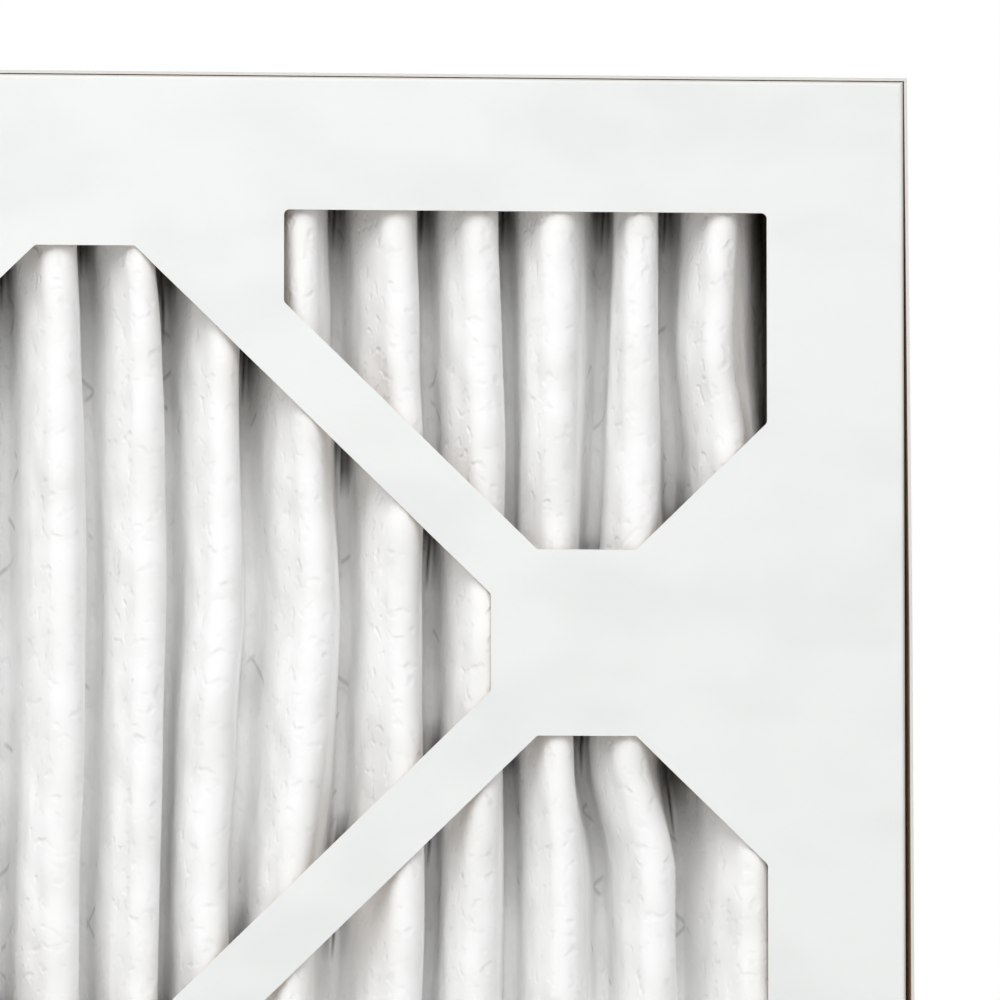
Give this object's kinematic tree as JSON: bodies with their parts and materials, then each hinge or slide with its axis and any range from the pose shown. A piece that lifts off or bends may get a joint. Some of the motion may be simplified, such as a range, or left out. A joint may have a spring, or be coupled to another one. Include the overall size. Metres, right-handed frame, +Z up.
{
  "type": "pleated panel air filter",
  "caption": "Flat rectangular pleated air filter: white board frame with a diagonal lattice over each face, a deep vertical pleat pack behind it and a folded metal support grid at the rear.",
  "frame": {"origin": "middle of the underside, halfway through the depth", "axes": "+X along the long side, +Y from the air-entering face to the air-leaving face, +Z up along the pleats"},
  "size_m": [0.6248, 0.0444, 0.4953],
  "materials": {
    "frame_board": "matte",
    "filter_media": "matte",
    "galvanised_grid": "satin",
    "adhesive": "satin"
  },
  "bodies": {
    "root": {"front_frame": "frame_board", "rear_frame": "frame_board", "media_pack": "filter_media", "support_grid": "galvanised_grid", "top_adhesive_bead": "adhesive", "bottom_adhesive_bead": "adhesive", "right_adhesive_bead": "adhesive", "left_adhesive_bead": "adhesive"}
  },
  "joints": []
}
